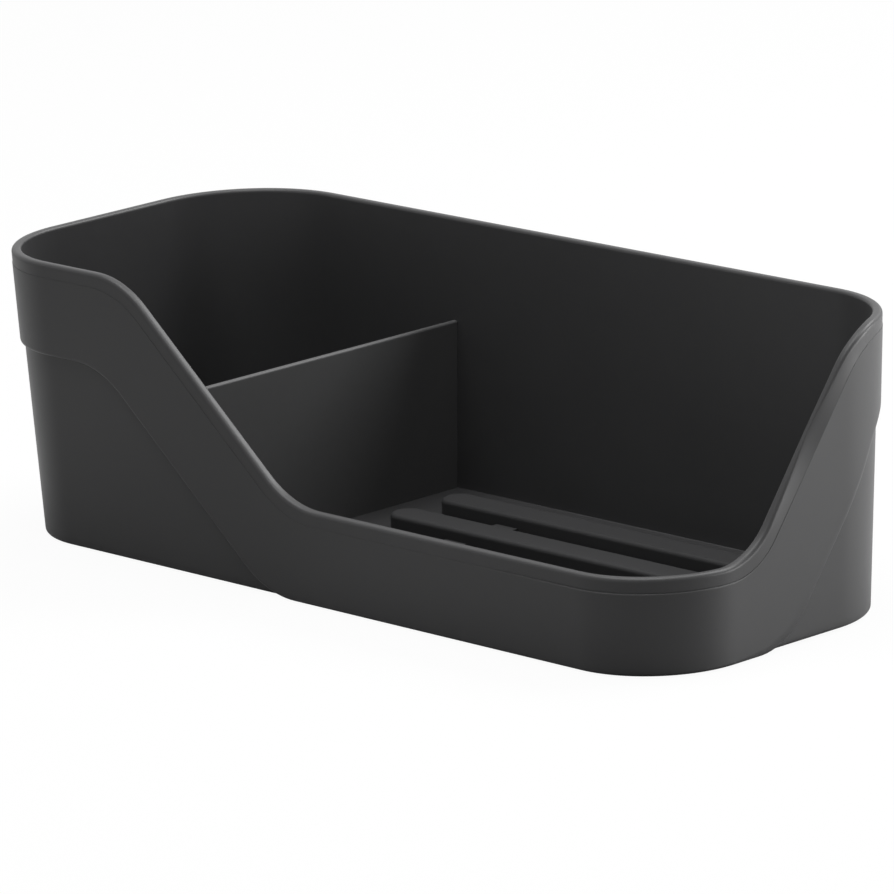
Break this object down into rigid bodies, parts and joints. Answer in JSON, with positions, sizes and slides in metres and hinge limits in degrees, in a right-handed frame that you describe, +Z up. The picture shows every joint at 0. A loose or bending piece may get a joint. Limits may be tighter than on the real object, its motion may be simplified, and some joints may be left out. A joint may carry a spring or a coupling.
{
  "type": "kitchen sink caddy",
  "caption": "Open plastic sink caddy with a swooping rim, low front, wrap sleeve, lift-out divider and lift-out drain rack.",
  "frame": {"origin": "middle of the footprint, on the surface that the feet stand on", "axes": "+X along the length from the high left end to the low right end, +Y from the low front to the high back, +Z up"},
  "size_m": [0.2595, 0.1068, 0.0802],
  "materials": {
    "tub_plastic": "charcoal grey moulded polypropylene, satin",
    "sleeve_plastic": "charcoal grey moulded polypropylene, satin",
    "divider_plastic": "charcoal grey moulded polypropylene, satin",
    "rack_plastic": "charcoal grey moulded polypropylene, satin",
    "foot_rubber": "black rubber, matt"
  },
  "bodies": {
    "caddy": {"tub": "tub_plastic", "sleeve": "sleeve_plastic", "feet": "foot_rubber"},
    "divider_plate": {"divider": "divider_plastic"},
    "rack": {"drain_rack": "rack_plastic"}
  },
  "joints": [
    {"name": "divider_lift", "type": "slide", "parent": "caddy", "child": "divider_plate", "axis": [0, 0, 1], "range_m": [0, 0.08]},
    {"name": "rack_lift", "type": "slide", "parent": "caddy", "child": "rack", "axis": [0, 0, 1], "range_m": [0, 0.08]}
  ]
}
